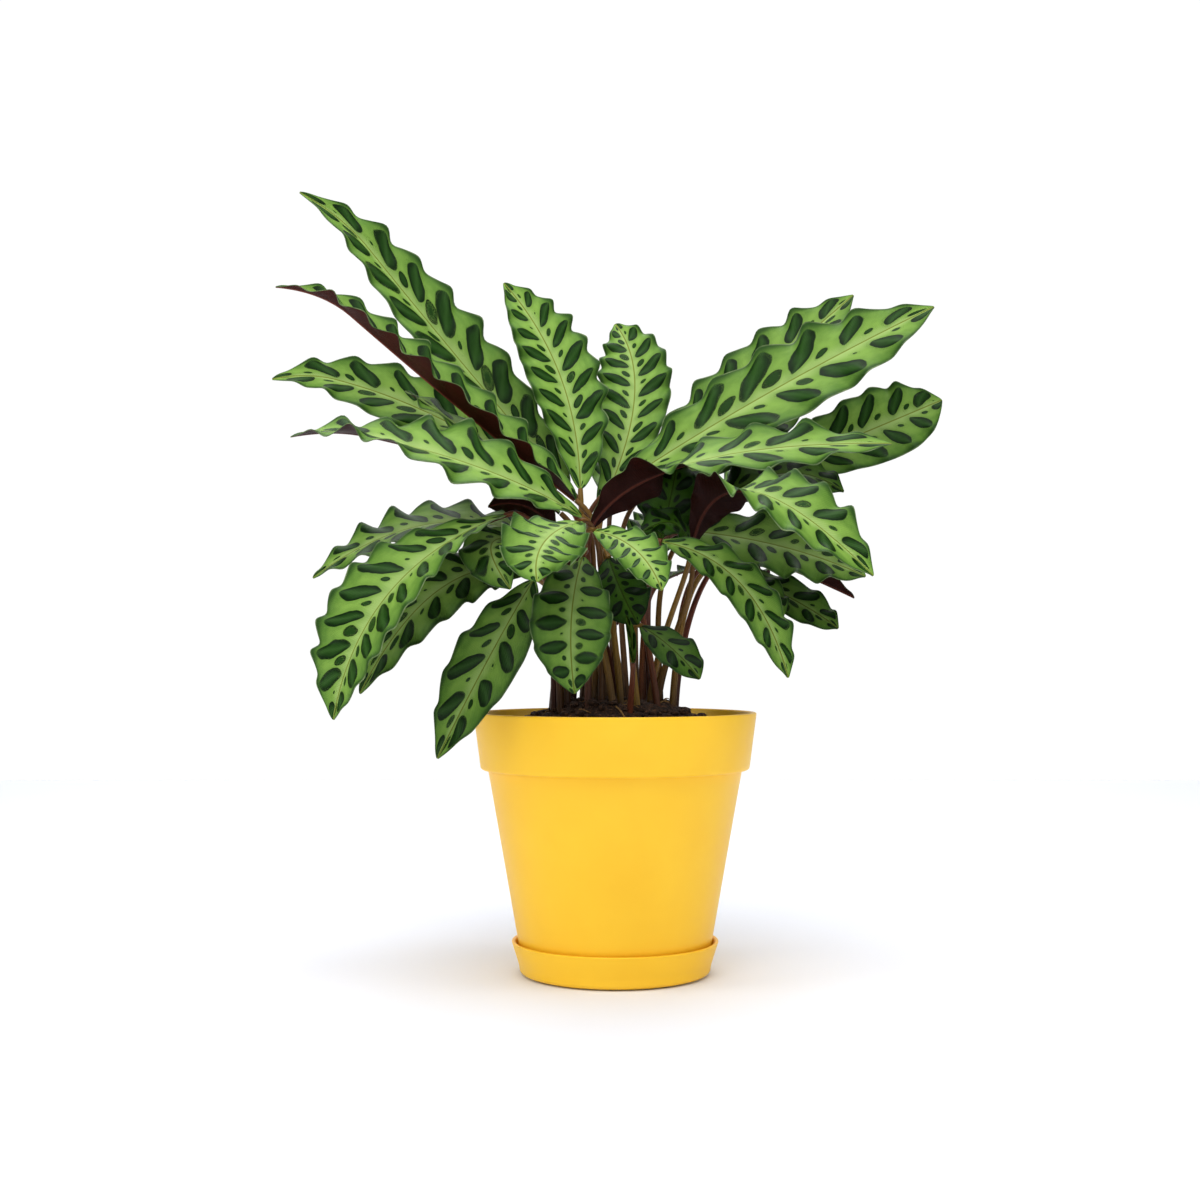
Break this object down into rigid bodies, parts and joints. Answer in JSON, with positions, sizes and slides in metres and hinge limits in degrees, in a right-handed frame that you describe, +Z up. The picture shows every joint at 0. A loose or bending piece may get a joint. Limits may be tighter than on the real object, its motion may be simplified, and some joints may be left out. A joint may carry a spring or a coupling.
{
  "type": "potted rattlesnake plant",
  "caption": "Leafy patterned house plant growing in a round tapered pot that stands on its drip saucer.",
  "frame": {"origin": "centre of the saucer's flat underside, on the pot's axis", "axes": "+Z up along the pot's axis, -Y towards the plant's front, +X to the right seen from the front"},
  "size_m": [0.4204, 0.3056, 0.4865],
  "materials": {
    "pot_plastic": "satin yellow plastic",
    "peat": "damp peat and bark",
    "stalk": "smooth plant stem, brown to burgundy",
    "leaf": "waxy leaf, green with dark blotches above, burgundy below"
  },
  "bodies": {
    "root": {"saucer": "pot_plastic", "pot": "pot_plastic", "soil": "peat", "stems": "stalk", "leaf_01": "leaf", "leaf_02": "leaf", "leaf_03": "leaf", "leaf_04": "leaf", "leaf_05": "leaf", "leaf_06": "leaf", "leaf_07": "leaf", "leaf_08": "leaf", "leaf_09": "leaf", "leaf_10": "leaf", "leaf_11": "leaf", "leaf_12": "leaf", "leaf_13": "leaf", "leaf_14": "leaf", "leaf_15": "leaf", "leaf_16": "leaf", "leaf_17": "leaf", "leaf_18": "leaf", "leaf_19": "leaf", "leaf_20": "leaf", "leaf_21": "leaf", "leaf_22": "leaf", "leaf_23": "leaf", "leaf_24": "leaf", "leaf_25": "leaf", "leaf_26": "leaf", "leaf_27": "leaf", "leaf_28": "leaf", "leaf_29": "leaf", "leaf_30": "leaf", "leaf_31": "leaf", "leaf_32": "leaf", "leaf_33": "leaf", "leaf_34": "leaf", "leaf_35": "leaf", "leaf_36": "leaf", "leaf_37": "leaf", "leaf_38": "leaf", "leaf_39": "leaf", "leaf_40": "leaf", "leaf_41": "leaf"}
  },
  "joints": []
}
